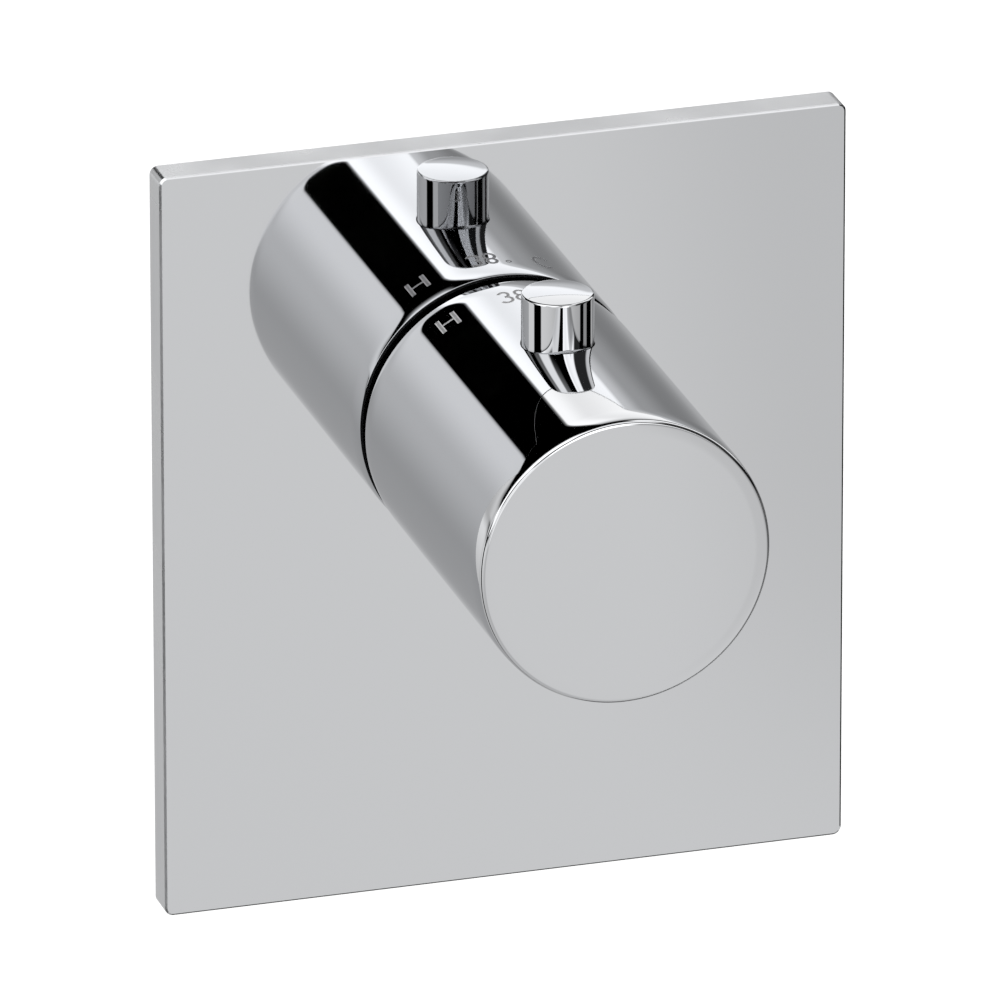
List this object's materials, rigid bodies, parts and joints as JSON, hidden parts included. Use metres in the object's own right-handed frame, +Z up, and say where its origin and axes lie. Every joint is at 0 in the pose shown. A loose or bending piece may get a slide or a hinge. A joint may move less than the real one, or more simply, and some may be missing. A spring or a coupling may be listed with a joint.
{
  "type": "thermostatic shower valve",
  "caption": "Concealed thermostatic shower valve: rectangular chrome wall plate, cylindrical temperature handle with a push button, and a brass body with wax cartridge behind.",
  "frame": {"origin": "centre of the four wall fixing holes, on the rear face of the mounting bracket; the handle's axis runs through it", "axes": "-Y out of the wall into the room along the handle's axis, +Z up, +X to the right seen from the room"},
  "size_m": [0.12, 0.1298, 0.1334],
  "materials": {
    "polished_chrome": "mirror polished",
    "bare_brass": "machined and cast",
    "copper_bulb": "drawn copper",
    "stainless_steel": "plain",
    "black_rubber": "satin",
    "foam_seal": "closed-cell foam",
    "white_polymer": "moulded",
    "black_polymer": "moulded"
  },
  "bodies": {
    "valve": {"mounting_bracket": "stainless_steel", "bracket_screws": "stainless_steel", "valve_body": "bare_brass", "wall_sleeve": "black_polymer", "plate_seal_ring": "black_rubber", "cover_plate": "polished_chrome", "wall_gasket": "foam_seal", "cartridge_sleeve": "white_polymer", "cartridge_seal_rings": "black_rubber", "cartridge_headwork": "bare_brass", "cartridge_nut": "bare_brass", "safety_stop_ring": "black_polymer", "return_spring": "stainless_steel", "hot_check_housing": "white_polymer", "hot_check_seal_ring": "black_rubber", "hot_check_spring": "stainless_steel", "hot_inlet_filter": "stainless_steel", "cold_check_housing": "white_polymer", "cold_check_seal_ring": "black_rubber", "cold_check_spring": "stainless_steel", "cold_inlet_filter": "stainless_steel"},
    "handle": {"temperature_handle": "polished_chrome", "handle_insert": "white_polymer", "insert_screw": "stainless_steel", "handle_grub_screw": "stainless_steel", "safety_stop_tongue": "stainless_steel", "tongue_screw": "stainless_steel", "spindle": "bare_brass", "spindle_seal_rings": "black_rubber", "spindle_circlip": "stainless_steel"},
    "button": {"safety_stop_button": "polished_chrome"},
    "adjuster": {"adjusting_nut": "bare_brass", "plunger_retaining_ring": "stainless_steel", "overload_spring": "stainless_steel"},
    "plunger": {"overload_plunger": "bare_brass", "piston_pin": "stainless_steel"},
    "shuttle": {"shuttle": "white_polymer", "shuttle_seal_ring": "black_rubber", "wax_element": "copper_bulb", "element_clamp_nut": "bare_brass"},
    "hot_poppet": {"hot_check_poppet": "white_polymer"},
    "cold_poppet": {"cold_check_poppet": "white_polymer"}
  },
  "joints": [
    {"name": "handle_turn", "type": "hinge", "parent": "valve", "child": "handle", "pos_m": [0, 0, 0], "axis": [0, -1, 0], "range_deg": [-125, 35]},
    {"name": "button_press", "type": "slide", "parent": "handle", "child": "button", "axis": [0, 0, -1], "range_m": [0, 0.0018], "stiffness_N_per_m": 1200, "springref_m": -0.002, "deforming": ["safety_stop_tongue"]},
    {"name": "adjuster_travel", "type": "slide", "parent": "valve", "child": "adjuster", "axis": [0, -1, 0], "range_m": [-0.0028, 0.0008]},
    {"name": "overload_travel", "type": "slide", "parent": "adjuster", "child": "plunger", "axis": [0, -1, 0], "range_m": [0, 0.002], "stiffness_N_per_m": 5000, "springref_m": -0.003, "deforming": ["overload_spring"]},
    {"name": "shuttle_travel", "type": "slide", "parent": "valve", "child": "shuttle", "axis": [0, -1, 0], "range_m": [-0.0005, 0.0005], "stiffness_N_per_m": 2500, "deforming": ["return_spring"]},
    {"name": "hot_check_travel", "type": "slide", "parent": "valve", "child": "hot_poppet", "axis": [1, 0, 0], "range_m": [0, 0.0022], "stiffness_N_per_m": 150, "springref_m": -0.002, "deforming": ["hot_check_spring"]},
    {"name": "cold_check_travel", "type": "slide", "parent": "valve", "child": "cold_poppet", "axis": [-1, 0, 0], "range_m": [0, 0.0022], "stiffness_N_per_m": 150, "springref_m": -0.002, "deforming": ["cold_check_spring"]}
  ],
  "couplings": [
    {"joint": "adjuster_travel", "follows": "handle_turn", "m_per_rad": 0.0012732}
  ]
}
